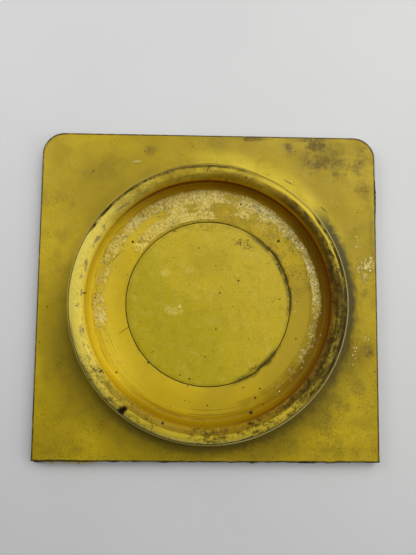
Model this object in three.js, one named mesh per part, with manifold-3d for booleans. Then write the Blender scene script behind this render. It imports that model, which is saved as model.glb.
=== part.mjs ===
// Raised pavement marker: a square flange plate held to the road by a butyl pad, with a round cup
// standing in the plate and a disc let into the floor of the cup. Millimetres, +Z away from the road.
// The origin is the centre of the footprint, on the road surface.

import * as THREE from 'three';
import { mergeVertices } from 'three/addons/utils/BufferGeometryUtils.js';
import Module from 'manifold-3d';

// ---------------------------------------------------------------- driving dimensions

// Cup: its inner wall, rim and floor. Heights are above the plate's top face.
const cupInnerRadius = 34.7;
const rimWidth = 4.5;
const rimHeight = 6.0;
const rimInnerDrop = 1.1;
const rimOuterDrop = 1.7;
const floorHeight = 0.5;
const floorFillet = 1.0;
const cupOffsetY = -0.2;

// Foot under the cup's wall, which the plate holds down on the pad.
const footReach = 2.5;
const footThickness = 1.0;

// Collar of the plate, standing close round the cup.
const seatClearance = 0.3;
const collarThickness = 0.5;
const collarHeight = 4.4;

// Flange plate: a square that reaches past the collar by flangeWidth on each side, and is then cut
// along its -Y edge. The cut leans outwards as it goes down. The corners at +Y are rounded.
const flangeWidth = 10;
const plateThickness = 2.5;
const plateCornerRadius = 6.5;
const cutDepth = 4.0;
const cutLean = 0.8;

// Butyl pad under the plate, a little smaller than it, with squeezed-out teeth at the cut edge.
const padThickness = 1.0;
const padInset = 0.5;
const longToothReach = 0.45;
const shortToothReach = 0.27;
const toothCount = 9;

// Disc let into the cup's floor, slightly off the cup's axis.
const discRadius = 23.9;
const discThickness = 2.0;
const discClearance = 0.3;
const discOffsetY = -0.5;

// Dried glue left in the dish, on the disc and on the flange.
const glueThickness = 0.35;
const glueFloorMargin = 0.9;
const glueDiscMargin = 1.2;
const glueSweep = [-25, 205];
const discGlueSize = [8, 5];
const discGlueCentre = [-9, -1.5];
const flangeGlueSize = [5.4, 9];
const flangeGlueEdgeGap = 0.6;
const flangeGlueY = 10;

// Bitumen stuck to the plate's +X side.
const tarLength = 13;
const tarReach = 0.8;
const tarFromCorner = 5.5;
const tarTopDrop = 0.3;
const tarHumpDepth = 0.25;
const tarSegments = 12;

// How far a cutting tool runs past what it cuts.
const overshoot = 1;

// Fineness of the round surfaces.
const roundSegments = 72;
const rimSegments = 8;
const filletSegments = 3;
const cornerSegments = 6;

// ---------------------------------------------------------------- derived places

const cupOuterRadius = cupInnerRadius + rimWidth;
const seatRadius = cupOuterRadius + seatClearance;
const collarRadius = seatRadius + collarThickness;
const footRadius = cupOuterRadius + footReach;
const halfSide = collarRadius + flangeWidth;
const plateBottom = padThickness;
const plateTop = plateBottom + plateThickness;
const floorZ = plateTop + floorHeight;
const rimZ = plateTop + rimHeight;
const collarZ = plateTop + collarHeight;
const discBottom = floorZ - discThickness;
const cutYTop = -halfSide + cutDepth;
const cutYBottom = cutYTop - cutLean;
const footprintCentreY = (halfSide + cutYBottom) / 2;
const tarY = halfSide - plateCornerRadius - tarFromCorner - tarLength / 2;

// ---------------------------------------------------------------- solids

const wasm = await Module();
wasm.setup();

function toSolid(geometry) {
  geometry.deleteAttribute('normal');
  geometry.deleteAttribute('uv');
  const merged = mergeVertices(geometry, 1e-4);
  const corners = merged.index.array;
  const kept = [];
  for (let i = 0; i < corners.length; i += 3) {
    const [a, b, c] = corners.slice(i, i + 3);
    if (a !== b && b !== c && c !== a) kept.push(a, b, c);
  }
  return new wasm.Manifold(new wasm.Mesh({
    numProp: 3,
    vertProperties: new Float32Array(merged.attributes.position.array),
    triVerts: new Uint32Array(kept),
  }));
}

function toGeometry(solid) {
  const mesh = solid.getMesh();
  const geometry = new THREE.BufferGeometry();
  geometry.setAttribute('position', new THREE.BufferAttribute(mesh.vertProperties, 3));
  geometry.setIndex(new THREE.BufferAttribute(mesh.triVerts, 1));
  geometry.computeVertexNormals();
  return geometry;
}

// Turns a profile of [radius, height] points about the Z axis.
function turned(profile) {
  const points = profile.map(([radius, height]) => new THREE.Vector2(radius, height));
  return new THREE.LatheGeometry(points, roundSegments).rotateX(Math.PI / 2);
}

function cylinder(radius, bottom, top) {
  return turned([[0, bottom], [radius, bottom], [radius, top], [0, top]]);
}

function extruded(shape, bottom, height, curveSegments = cornerSegments) {
  const options = { depth: height, bevelEnabled: false, curveSegments };
  return new THREE.ExtrudeGeometry(shape, options).translate(0, 0, bottom);
}

// Points of an elliptical arc about a centre, from one angle to another, both ends included.
function arc([cx, cy], [rx, ry], [from, to], segments) {
  const points = [];
  for (let i = 0; i <= segments; i += 1) {
    const angle = from + ((to - from) * i) / segments;
    points.push([cx + rx * Math.cos(angle), cy + ry * Math.sin(angle)]);
  }
  return points;
}

// Square whose two corners at +Y are rounded, and whose other two are sharp.
function squareOutline(half, radius) {
  const inner = half - radius;
  const outline = new THREE.Shape();
  outline.moveTo(half, -half);
  outline.lineTo(half, inner);
  outline.absarc(inner, inner, radius, 0, Math.PI / 2);
  outline.absarc(-inner, inner, radius, Math.PI / 2, Math.PI);
  outline.lineTo(-half, -half);
  return outline;
}

// Waste beyond the cut, a prism along X whose sloping side is the cut face.
function cutWaste() {
  const lean = cutLean / plateThickness;
  const section = new THREE.Shape([
    new THREE.Vector2(-halfSide - overshoot, plateBottom - overshoot),
    new THREE.Vector2(cutYBottom - lean * overshoot, plateBottom - overshoot),
    new THREE.Vector2(cutYTop + lean * overshoot, plateTop + overshoot),
    new THREE.Vector2(-halfSide - overshoot, plateTop + overshoot),
  ]);
  const length = 2 * (halfSide + overshoot);
  const prism = new THREE.ExtrudeGeometry(section, { depth: length, bevelEnabled: false });
  // The section's axes are Y and Z, and its depth runs along X.
  const turn = new THREE.Matrix4().makeBasis(
    new THREE.Vector3(0, 1, 0),
    new THREE.Vector3(0, 0, 1),
    new THREE.Vector3(1, 0, 0),
  );
  return prism.applyMatrix4(turn).translate(-length / 2, 0, 0);
}

function basePlate() {
  const square = toSolid(extruded(squareOutline(halfSide, plateCornerRadius), plateBottom, plateThickness));
  const rebateTop = plateBottom + footThickness + seatClearance;
  const [collar, seat, rebate] = [
    cylinder(collarRadius, plateBottom, collarZ),
    cylinder(seatRadius, plateBottom - overshoot, collarZ + overshoot),
    cylinder(footRadius + seatClearance, plateBottom - overshoot, rebateTop),
  ].map((tool) => toSolid(tool.translate(0, cupOffsetY, 0)));
  return square.subtract(toSolid(cutWaste())).add(collar).subtract(seat).subtract(rebate);
}

// Half section of the cup: foot, outer wall, rounded rim, inner wall, fillet and floor.
function cupProfile() {
  const rimMiddle = (cupOuterRadius + cupInnerRadius) / 2;
  const rimHalf = (cupOuterRadius - cupInnerRadius) / 2;
  const quarter = Math.PI / 2;
  // The inner half is a circular arc, level at the top, which ends at an edge above the inner wall.
  const innerSweep = 2 * Math.atan2(rimInnerDrop, rimHalf);
  const innerBend = rimHalf / Math.sin(innerSweep);
  const outerShoulder = arc(
    [rimMiddle, rimZ - rimOuterDrop],
    [rimHalf, rimOuterDrop],
    [0, quarter],
    rimSegments / 2,
  );
  const innerShoulder = arc(
    [rimMiddle, rimZ - innerBend],
    [innerBend, innerBend],
    [quarter, quarter + innerSweep],
    rimSegments / 2,
  );
  const fillet = arc(
    [cupInnerRadius - floorFillet, floorZ + floorFillet],
    [floorFillet, floorFillet],
    [0, -quarter],
    filletSegments,
  );
  return [
    [0, plateBottom],
    [footRadius, plateBottom],
    [footRadius, plateBottom + footThickness],
    [cupOuterRadius, plateBottom + footThickness],
    ...outerShoulder,
    ...innerShoulder.slice(1),
    ...fillet,
    [0, floorZ],
  ];
}

function cupRing() {
  const body = toSolid(turned(cupProfile()));
  const pocket = cylinder(discRadius + discClearance, discBottom, floorZ + overshoot);
  pocket.translate(0, discOffsetY, 0);
  return body.subtract(toSolid(pocket));
}

function centreDisc() {
  return toSolid(cylinder(discRadius, discBottom, floorZ));
}

// Pad with straight sides and a row of rounded teeth squeezed out along the cut edge.
function adhesivePad() {
  const half = halfSide - padInset;
  const radius = plateCornerRadius - padInset;
  const inner = half - radius;
  const outline = new THREE.Shape();
  outline.moveTo(half, cutYBottom);
  outline.lineTo(half, inner);
  outline.absarc(inner, inner, radius, 0, Math.PI / 2);
  outline.absarc(-inner, inner, radius, Math.PI / 2, Math.PI);
  outline.lineTo(-half, cutYBottom);
  const pitch = (2 * half) / toothCount;
  for (let i = 0; i < toothCount; i += 1) {
    const left = -half + i * pitch;
    const reach = i % 2 ? longToothReach : shortToothReach;
    // A quadratic curve reaches halfway to its control point.
    outline.quadraticCurveTo(left + pitch / 2, cutYBottom - 2 * reach, left + pitch, cutYBottom);
  }
  return toSolid(extruded(outline, 0, padThickness, cornerSegments));
}

// Glue on the ring-shaped floor between the disc and the fillet.
function dishGlueFilm() {
  const outer = cupInnerRadius - floorFillet - glueFloorMargin;
  const inner = discRadius + discClearance + glueDiscMargin;
  const [from, to] = glueSweep.map(THREE.MathUtils.degToRad);
  const outline = new THREE.Shape();
  outline.absarc(0, 0, outer, from, to);
  outline.absarc(0, 0, inner, to, from, true);
  return toSolid(extruded(outline, floorZ, glueThickness, roundSegments / 2));
}

function gluePatch([width, depth], bottom) {
  const outline = new THREE.Shape();
  outline.absellipse(0, 0, width / 2, depth / 2, 0, Math.PI * 2);
  return toSolid(extruded(outline, bottom, glueThickness, cornerSegments * 2));
}

// Lump of bitumen against the plate's side, swelling to two humps.
function edgeTar() {
  const outline = new THREE.Shape();
  outline.moveTo(0, tarLength / 2);
  outline.lineTo(0, -tarLength / 2);
  for (let i = 1; i < tarSegments; i += 1) {
    const share = i / tarSegments;
    const humps = 1 - tarHumpDepth + tarHumpDepth * Math.cos(4 * Math.PI * share);
    const swell = Math.sin(Math.PI * share) * humps;
    outline.lineTo(tarReach * swell, tarLength * (share - 0.5));
  }
  return toSolid(extruded(outline, 0, plateTop - tarTopDrop));
}

// ---------------------------------------------------------------- materials and assembly

const yellowPlastic = { color: 0xc4a92c, roughness: 0.45, metalness: 0 };
const discPlastic = { color: 0xb3a337, roughness: 0.4, metalness: 0 };
const blackButyl = { color: 0x17150f, roughness: 0.75, metalness: 0 };
const driedGlue = { color: 0xd9cb8a, roughness: 0.2, metalness: 0 };

function piece(name, solid, finish, x = 0, y = 0) {
  const mesh = new THREE.Mesh(toGeometry(solid), new THREE.MeshStandardMaterial(finish));
  mesh.name = name;
  mesh.position.set(x, y, 0);
  return mesh;
}

const flangeGluePlace = [halfSide - flangeGlueEdgeGap - flangeGlueSize[0] / 2, flangeGlueY];

const cup = new THREE.Group();
cup.position.set(0, cupOffsetY, 0);
cup.add(piece('cup_ring', cupRing(), yellowPlastic));
cup.add(piece('centre_disc', centreDisc(), discPlastic, 0, discOffsetY));
cup.add(piece('dish_glue_film', dishGlueFilm(), driedGlue));
cup.add(piece('disc_glue_patch', gluePatch(discGlueSize, floorZ), driedGlue, ...discGlueCentre));

const marker = new THREE.Group();
marker.name = 'raised_pavement_marker';
marker.position.set(0, -footprintCentreY, 0);
marker.add(piece('adhesive_pad', adhesivePad(), blackButyl));
marker.add(piece('base_plate', basePlate(), yellowPlastic));
marker.add(cup);
const flangeGlue = gluePatch(flangeGlueSize, plateTop);
marker.add(piece('flange_glue_patch', flangeGlue, driedGlue, ...flangeGluePlace));
marker.add(piece('edge_tar', edgeTar(), blackButyl, halfSide, tarY));

export default marker;
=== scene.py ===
"""Raised pavement marker: a worn yellow plate, cup and disc, with dried glue, soil and bitumen, built
round the CAD frame."""

import math

import bpy
import numpy as np
from mathutils import Euler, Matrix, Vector, noise


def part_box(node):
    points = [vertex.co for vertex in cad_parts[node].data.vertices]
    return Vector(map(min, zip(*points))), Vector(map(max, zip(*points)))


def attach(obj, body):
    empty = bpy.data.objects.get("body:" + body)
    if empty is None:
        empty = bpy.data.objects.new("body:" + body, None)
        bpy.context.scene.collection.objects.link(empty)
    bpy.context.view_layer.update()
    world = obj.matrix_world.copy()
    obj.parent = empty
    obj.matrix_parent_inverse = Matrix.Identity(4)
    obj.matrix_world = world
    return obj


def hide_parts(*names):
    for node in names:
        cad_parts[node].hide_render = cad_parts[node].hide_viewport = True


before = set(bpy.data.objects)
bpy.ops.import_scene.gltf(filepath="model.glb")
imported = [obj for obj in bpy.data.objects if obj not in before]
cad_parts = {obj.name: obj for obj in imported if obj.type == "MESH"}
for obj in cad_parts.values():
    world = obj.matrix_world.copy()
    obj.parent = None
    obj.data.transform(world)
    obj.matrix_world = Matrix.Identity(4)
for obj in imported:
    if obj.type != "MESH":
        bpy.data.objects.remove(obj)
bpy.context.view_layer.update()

bl_info = {
    "name": "Raised pavement marker",
    "version": (1, 0, 0),
    "blender": (4, 5, 0),
    "location": "View3D > Sidebar > Marker",
    "description": "Builds the worn looks of a raised pavement marker round its CAD frame",
    "category": "Object",
}

BODY = "root"
MM = 0.001


# ---------------------------------------------------------------- places taken from the frame


def node_centre(node):
    low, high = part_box(node)
    return (low + high) / 2


def node_radius(node):
    low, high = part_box(node)
    return (high.x - low.x) / 2


PLATE_LOW, PLATE_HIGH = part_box("base_plate")
CUP_LOW, CUP_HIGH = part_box("cup_ring")
PAD_LOW, PAD_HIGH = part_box("adhesive_pad")
TAR_LOW, TAR_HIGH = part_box("edge_tar")
CUP_AXIS = node_centre("cup_ring")
DISC_AXIS = node_centre("centre_disc")
COLLAR_SEAT = node_radius("cup_ring") - 2.2 * MM
PLATE_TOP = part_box("flange_glue_patch")[0].z
FLOOR_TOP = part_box("dish_glue_film")[0].z


# ---------------------------------------------------------------- what a user may change


def length(name, description, default):
    return bpy.props.FloatProperty(
        name=name, description=description, default=default, min=0.0, unit="LENGTH", precision=5
    )


def colour(name, description, default):
    return bpy.props.FloatVectorProperty(
        name=name, description=description, default=default, size=3, min=0.0, max=1.0, subtype="COLOR"
    )


def share(name, description, default):
    return bpy.props.FloatProperty(name=name, description=description, default=default, min=0.0, max=1.0)


class PlateSettings(bpy.types.PropertyGroup):
    """Flange plate with its collar."""

    corner: length("Corner radius", "Radius of the two moulded corners", 6.5 * MM)
    cut_depth: length("Cut depth", "How far the cut edge lies inside the moulded square", 4.0 * MM)
    edge_round: length("Edge rounding", "Rounding of the top edge, where soil collects", 0.32 * MM)
    collar: length("Collar thickness", "Thickness of the thin collar round the cup", 0.5 * MM)
    foot_fillet: length("Collar fillet", "Fillet between collar and flange", 0.5 * MM)
    warp: length("Warp", "Height of the flange's slow waviness", 0.16 * MM)
    # Colour of the painted pool of light on the flange next to the collar.
    rubbed_and_lit: colour("Rubbed plastic", "Colour of the rubbed flange next to the collar", (0.84, 0.65, 0.03))
    clean: colour("Clean plastic", "Colour of the clean flange", (0.64, 0.455, 0.010))
    dull: colour("Dull plastic", "Colour of the weathered flange", (0.43, 0.305, 0.006))


class CupSettings(bpy.types.PropertyGroup):
    """Cup with its rounded rim and dish."""

    inner_radius: length("Inner radius", "Radius of the steep inner wall", 34.7 * MM)
    rim_width: length("Rim width", "Distance from inner wall to outer wall", 4.5 * MM)
    inner_drop: length("Inner drop", "How far the rim falls towards the dish", 1.1 * MM)
    outer_drop: length("Outer drop", "How far the rim falls towards the collar", 1.7 * MM)
    fillet: length("Fillet", "Fillet between wall and dish floor", 1.2 * MM)
    joint: length("Joint width", "Width of the joint round the disc", 0.24 * MM)
    snug: length("Rim swell", "How far the rim swells out towards the collar", 0.17 * MM)
    clean: colour("Clean plastic", "Colour of the dish", (0.68, 0.48, 0.020))
    # Colour of the painted highlight on the rim towards -X.
    rim_highlight: colour("Polished rim", "Colour of the rim's cleanest part", (0.90, 0.72, 0.12))
    crown: colour("Worn rim", "Colour of the rubbed rim", (0.70, 0.53, 0.045))


class DiscSettings(bpy.types.PropertyGroup):
    """Disc in the dish floor."""

    edge_round: length("Edge rounding", "Rounding of the disc's edge", 0.12 * MM)
    clean: colour("Clean plastic", "Colour of the disc", (0.655, 0.485, 0.024))
    # Colour of the disc's painted dark reflection on its -X -Y side, also used for its greener mottle.
    green: colour("Green cast", "Colour of the greener side of the disc", (0.52, 0.41, 0.013))


class SoilSettings(bpy.types.PropertyGroup):
    """Soil, grit and bitumen."""

    soil: colour("Soil", "Colour of dried soil", (0.042, 0.025, 0.003))
    grime: colour("Grime", "Colour of grey road grime", (0.075, 0.058, 0.010))
    bitumen: colour("Bitumen", "Colour of bitumen and butyl", (0.008, 0.007, 0.006))
    grit_density: bpy.props.FloatProperty(
        name="Grit density", description="Grains for each square centimetre", default=1.5, min=0.0
    )
    grit_size: length("Grit size", "Radius of a common grain", 0.16 * MM)


class GlueSettings(bpy.types.PropertyGroup):
    """Dried clear glue."""

    wrinkle: length("Wrinkle height", "Height of the crinkles", 0.22 * MM)
    cell: length("Mesh cell", "Size of one cell of the film's mesh", 0.26 * MM)
    tint: colour("Tint", "Colour of the milky film", (0.80, 0.62, 0.125))
    # Colour of the white flecks: crust of crazed glue, partly painted glints.
    frost: colour("Frost", "Colour of the white flecks", (1.0, 0.87, 0.36))
    under: colour("Under", "Colour seen through the clear film", (0.66, 0.46, 0.015))
    cover: share("Milkiness", "How milky the film is at its palest", 0.85)


class StageSettings(bpy.types.PropertyGroup):
    """Floor, lights and camera."""

    height: length("Camera height", "Height of the camera above the flange", 122.6 * MM)
    lens: bpy.props.FloatProperty(
        name="Lens", description="Focal length in millimetres", default=27.05, min=1
    )
    floor: colour("Floor", "Colour of the floor", (0.76, 0.76, 0.755))


# ---------------------------------------------------------------- meshes


def ring_points(radius, centre, angles):
    """Points of a circle about a centre, in the row frame, one for each angle."""
    return np.stack([centre.x + radius * np.cos(angles), centre.y + radius * np.sin(angles)], axis=-1)


def set_layer(mesh, name, values):
    """Gives a mesh one number per point, which its material can read."""
    mesh.attributes.new(name, "FLOAT", "POINT").data.foreach_set("value", values)


def full_turn(steps):
    return np.linspace(0, 2 * math.pi, steps, endpoint=False)


def with_height(plan, height):
    """Adds a height, one number or one for each point, to plan points."""
    return np.concatenate([plan, np.broadcast_to(np.reshape(height, (-1, 1)), (len(plan), 1))], axis=1)


def signed_volume(points, faces):
    """Volume enclosed by the faces, negative where they point inwards."""
    total = 0.0
    for face in faces:
        first = points[face[0]]
        for second, third in zip(face[1:-1], face[2:]):
            total += float(np.dot(first, np.cross(points[second], points[third])))
    return total / 6


def new_object(name, points, faces, material, sharp=math.radians(50)):
    """A mesh object at the origin, smooth but for its sharp edges, with its faces pointing out."""
    points = np.asarray(points, float)
    if signed_volume(points, faces) < 0:
        faces = [tuple(reversed(face)) for face in faces]
    mesh = bpy.data.meshes.new(name)
    mesh.from_pydata(points.tolist(), [], faces)
    mesh.polygons.foreach_set("use_smooth", [True] * len(mesh.polygons))
    mesh.set_sharp_from_angle(angle=sharp)
    mesh.materials.append(material)
    mesh.validate()
    mesh.update()
    obj = bpy.data.objects.new(name, mesh)
    bpy.context.scene.collection.objects.link(obj)
    return obj


def round_body(rows, closed):
    """Points and faces of rows of points that run round an axis. Closed rows form a ring. Otherwise
    the first and last rows are poles, each drawn together into one point."""
    across = len(rows[0])
    if closed:
        points = np.concatenate(rows)
        count = len(rows)
        pairs = [(i, (i + 1) % count) for i in range(count)]
        start = 0
    else:
        points = np.concatenate([*rows[1:-1], rows[0][:1], rows[-1][:1]])
        count = len(rows) - 2
        pairs = [(i, i + 1) for i in range(count - 1)]
        start = count * across
    faces = []
    for low, high in pairs:
        for k in range(across):
            following = (k + 1) % across
            faces.append(
                (low * across + k, low * across + following, high * across + following, high * across + k)
            )
    if not closed:
        for k in range(across):
            following = (k + 1) % across
            faces.append((start, following, k))
            last = (count - 1) * across
            faces.append((start + 1, last + k, last + following))
    return points, faces


def waves(points, size, octaves=3, seed=0.0):
    """Smooth noise from -1 to 1 at each point, for waves of about this size in metres."""
    shift = Vector((seed, seed * 1.7, seed * 0.6))
    return np.array([noise.fractal(Vector(p) / size + shift, 0.9, 2.0, octaves) for p in points])


def finish_piece(obj, slot, *nodes):
    """Makes a piece ride on the marker and lets it stand for CAD nodes."""
    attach(obj, BODY)
    if nodes:
        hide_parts(*nodes)
    return obj


# ---------------------------------------------------------------- material graphs


class Graph:
    """A material's nodes, with short calls for what the finishes here are made of. Lengths are in
    millimetres, because patterns are laid out on the object's coordinates times a thousand. An axis
    gives the material its away and way: the distance from the axis and the direction away from it."""

    def __init__(self, name, axis=None):
        self.material = bpy.data.materials.new(name)
        self.material.use_nodes = True
        self.tree = self.material.node_tree
        self.tree.nodes.clear()
        self.output = self.node("ShaderNodeOutputMaterial")
        coordinates = self.node("ShaderNodeTexCoord").outputs["Object"]
        self.place = self.vector("SCALE", coordinates, Scale=1 / MM)
        if axis is not None:
            self.away, self.way = self.polar(axis)

    def node(self, kind, **inputs):
        made = self.tree.nodes.new(kind)
        for key, value in inputs.items():
            self.feed(made.inputs[key.replace("_", " ")], value)
        return made

    def feed(self, socket, value):
        if isinstance(value, bpy.types.NodeSocket):
            self.tree.links.new(value, socket)
        elif hasattr(value, "__len__") and len(value) == 3 and socket.type == "RGBA":
            socket.default_value = (*value, 1.0)
        else:
            socket.default_value = value

    def vector(self, operation, first, second=None, Scale=None):
        made = self.tree.nodes.new("ShaderNodeVectorMath")
        made.operation = operation
        self.feed(made.inputs[0], first)
        if second is not None:
            self.feed(made.inputs[1], second)
        if Scale is not None:
            self.feed(made.inputs["Scale"], Scale)
        return made.outputs["Value" if operation in ("LENGTH", "DOT_PRODUCT") else "Vector"]

    def math(self, operation, first, second=0.0, clamp=False):
        made = self.tree.nodes.new("ShaderNodeMath")
        made.operation = operation
        made.use_clamp = clamp
        self.feed(made.inputs[0], first)
        self.feed(made.inputs[1], second)
        return made.outputs[0]

    def product(self, *values):
        result = values[0]
        for value in values[1:]:
            result = self.math("MULTIPLY", result, value)
        return result

    def most(self, *values):
        result = values[0]
        for value in values[1:]:
            result = self.math("MAXIMUM", result, value)
        return result

    def span(self, value, low, high, to_low=0.0, to_high=1.0):
        """Smoothly carries low..high to to_low..to_high."""
        made = self.tree.nodes.new("ShaderNodeMapRange")
        made.interpolation_type = "SMOOTHSTEP"
        for socket, number in zip(made.inputs, (value, low, high, to_low, to_high)):
            self.feed(socket, number)
        return made.outputs[0]

    def mix(self, factor, first, second, blend="MIX"):
        made = self.tree.nodes.new("ShaderNodeMix")
        made.data_type = "RGBA"
        made.blend_type = blend
        self.feed(made.inputs[0], factor)
        self.feed(made.inputs[6], first)
        self.feed(made.inputs[7], second)
        return made.outputs[2]

    def coat(self, paint, *factors):
        """Lays paint over the colour so far, as strongly as the product of the factors."""
        self.colour = self.mix(self.product(*factors), self.colour, paint)

    def about(self, pattern, size):
        """A pattern moved to vary about 0, times size."""
        return self.product(self.math("SUBTRACT", pattern, 0.5), size)

    def noise(self, size, detail=3.0, rough=0.55, shift=0.0, place=None, warp=0.0):
        """Noise about 0.5, with blotches of about this size."""
        place = self.vector("ADD", place or self.place, (shift, shift * 1.3, shift * 0.7))
        shape = {"Scale": 1 / size, "Detail": detail, "Roughness": rough, "Distortion": warp}
        return self.node("ShaderNodeTexNoise", Vector=place, **shape).outputs[0]

    def specks(self, pitch, size, amount, shift=0.0):
        """Dark dots up to this size, one for a share of the cells of this pitch."""
        place = self.vector("ADD", self.place, (shift, shift, 0.0))
        cells = self.node("ShaderNodeTexVoronoi", Vector=place, Scale=1 / pitch)
        channels = self.node("ShaderNodeSeparateColor", Color=cells.outputs["Color"])
        chosen = self.math("GREATER_THAN", channels.outputs[0], 1 - amount)
        reach = self.span(channels.outputs[1], 0.0, 1.0, size / pitch * 0.35, size / pitch)
        near = self.math("SUBTRACT", reach, cells.outputs["Distance"])
        return self.product(chosen, self.span(near, 0.0, 0.25 * size / pitch))

    def polar(self, centre):
        """(distance from a vertical axis, unit direction away from it)."""
        offset = self.vector("SUBTRACT", self.place, (centre.x / MM, centre.y / MM, 0.0))
        flat = self.vector("MULTIPLY", offset, (1.0, 1.0, 0.0))
        return self.vector("LENGTH", flat), self.vector("NORMALIZE", flat)

    def smeared(self, size, stretch, detail, rough, shift):
        """Noise about 0.5 whose blotches are drawn out round the axis."""
        turned = self.vector("SCALE", self.way, Scale=MIDDLE_RADIUS / stretch)
        radial = self.node("ShaderNodeCombineXYZ", Z=self.away).outputs[0]
        return self.noise(size, detail, rough, shift, self.vector("ADD", turned, radial))

    def towards(self, degrees, half, soft, way=None):
        """1 within half degrees of a direction about an axis, falling off over soft degrees."""
        angle = math.radians(degrees)
        aim = self.vector("DOT_PRODUCT", way or self.way, (math.cos(angle), math.sin(angle), 0.0))
        return self.span(aim, math.cos(math.radians(min(180, half + soft))), math.cos(math.radians(half)))

    def band(self, value, low, high, soft):
        """1 from low to high, falling off over soft on both sides."""
        rise = self.span(value, low - soft, low)
        return self.product(rise, self.span(value, high, high + soft, 1.0, 0.0))

    def stain(self, paint, sector, ring, pattern, *steps):
        """Lays paint over a sector of a ring about the axis, as strongly as a span of a pattern."""
        where = self.product(self.towards(*sector), self.band(self.away, *ring))
        self.coat(paint, where, self.span(pattern, *steps))

    def patch(self, x, y, half_x, half_y, turn=0.0, ragged=0.5, soft=0.6, size=2.5):
        """A ragged oval patch about (x, y), turned by so many degrees."""
        made = self.tree.nodes.new("ShaderNodeMapping")
        made.vector_type = "TEXTURE"
        self.feed(made.inputs["Vector"], self.vector("MULTIPLY", self.place, (1.0, 1.0, 0.0)))
        made.inputs["Location"].default_value = (x, y, 0.0)
        made.inputs["Rotation"].default_value = (0.0, 0.0, math.radians(turn))
        made.inputs["Scale"].default_value = (half_x, half_y, 1.0)
        away = self.vector("LENGTH", made.outputs[0])
        rough = self.about(self.noise(size, 4, 0.6, x + y), 2 * ragged)
        return self.span(self.math("ADD", away, rough), 1 - soft, 1.0, 1.0, 0.0)

    def axes(self):
        """The place along X, Y and Z, in millimetres."""
        return self.node("ShaderNodeSeparateXYZ", Vector=self.place).outputs

    def scratch(self, start, end, width, waver=0.4):
        """A thin line from one point to another."""
        first, last = Vector((*start, 0.0)), Vector((*end, 0.0))
        run = last - first
        turn = math.degrees(math.atan2(run.y, run.x))
        middle = (first + last) / 2
        return self.patch(middle.x, middle.y, run.length / 2, width / 2, turn, waver, 0.7, 1.2)

    def surface(self, colour, roughness, height=None, depth=0.1, **sockets):
        """A Principled surface with a bump of depth millimetres."""
        shader = self.node("ShaderNodeBsdfPrincipled", Base_Color=colour, Roughness=roughness)
        for key, value in sockets.items():
            self.feed(shader.inputs[key.replace("_", " ")], value)
        if height is not None:
            bump = self.node("ShaderNodeBump", Height=height, Strength=1.0, Distance=depth * MM)
            self.tree.links.new(bump.outputs[0], shader.inputs["Normal"])
        return shader.outputs[0]

    def done(self, shader):
        self.tree.links.new(shader, self.output.inputs["Surface"])
        return self.material


# Radius in millimetres at which smeared blotches have their nominal size.
MIDDLE_RADIUS = 37

# Soft light under the skin of the moulded plastic, the same on plate, cup and disc.
UNDER_SKIN = {
    "Subsurface_Weight": 0.18,
    "Subsurface_Radius": (1.0, 0.62, 0.12),
    "Subsurface_Scale": 1.6 * MM,
}

# Stains on the flange: x, y, half width, half depth, turn, strength.
FLANGE_STAINS = (
    (35.0, 41.0, 17.0, 8.0, -10, 0.75),
    (23.5, 45.0, 4.0, 3.0, -30, 1.0),
    (33.0, 45.8, 9.0, 2.6, 0, 1.0),
    (45.5, 41.0, 5.0, 8.0, 0, 0.7),
    (13.0, 47.6, 7.0, 1.2, 0, 1.0),
    (28.0, 47.4, 10.0, 1.5, 0, 1.0),
    (-17.5, 43.6, 3.0, 2.4, 20, 0.6),
    (-34.0, 36.0, 10.0, 6.0, 10, 0.3),
    (9.0, 40.6, 1.6, 1.2, 0, 0.7),
    (46.5, 31.0, 3.5, 9.0, 0, 0.55),
    (48.6, 20.0, 1.5, 12.0, 0, 0.5),
    (47.0, -16.0, 2.6, 3.2, 15, 0.8),
    (46.3, 1.5, 2.4, 3.0, 0, 0.7),
    (44.0, -26.0, 3.0, 5.0, 35, 0.5),
    (39.0, -31.0, 3.0, 5.0, 50, 0.5),
    (-43.5, -21.0, 6.5, 8.0, -15, 0.55),
    (-41.0, -29.0, 5.0, 6.0, -25, 0.3),
    (-42.0, -45.0, 14.0, 4.0, 0, 0.42),
    (30.0, -44.0, 22.0, 4.0, 0, 0.5),
    (34.0, -36.5, 10.0, 9.0, 30, 0.5),
    (44.0, -4.0, 2.6, 12.0, 0, 0.4),
)

# Where painted glints on grains of glue lie on the flange: x, y, half width, half depth, turn.
FLANGE_GLINTS = (
    (45.6, -11.6, 3.0, 1.5, 0),
    (44.4, 16.4, 1.4, 2.6, 20),
    (42.8, -17.5, 1.3, 6.0, -18),
)

# Big dark spots in the dish and on its rim: x, y, radius.
DISH_SPOTS = (
    (-29.5, -21.3, 0.50),
    (-26.2, -22.4, 0.34),
    (-12.2, -35.2, 0.42),
    (12.6, -33.4, 0.50),
    (11.7, -35.2, 0.30),
    (13.8, -29.3, 0.34),
    (16.1, -31.1, 0.24),
    (10.4, -26.4, 0.26),
    (25.7, -12.3, 0.26),
    (0.1, -31.6, 0.26),
    (20.6, 16.4, 0.5),
    (-22.4, 15.6, 0.42),
    (-34.9, 0.2, 0.3),
)

# Pale glue marks on the disc: x, y, half width, half depth, turn.
DISC_FILM_MARKS = (
    (-5.4, 7.4, 2.2, 1.3, 20),
    (-12.8, 6.6, 1.8, 1.2, 0),
    (-10.5, -4.6, 3.4, 1.6, -15),
)

# Brown stains on the film in the dish: x, y, half width, half depth, turn.
FILM_STAINS = (
    (0.8, 25.6, 3.0, 0.8, 22),
    (14.5, 25.6, 2.6, 0.6, -32),
    (-21.4, 16.4, 4.6, 0.35, -12),
    (-28.0, 16.2, 1.6, 0.8, 50),
    (16.5, 20.0, 1.6, 0.6, 30),
)

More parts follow.
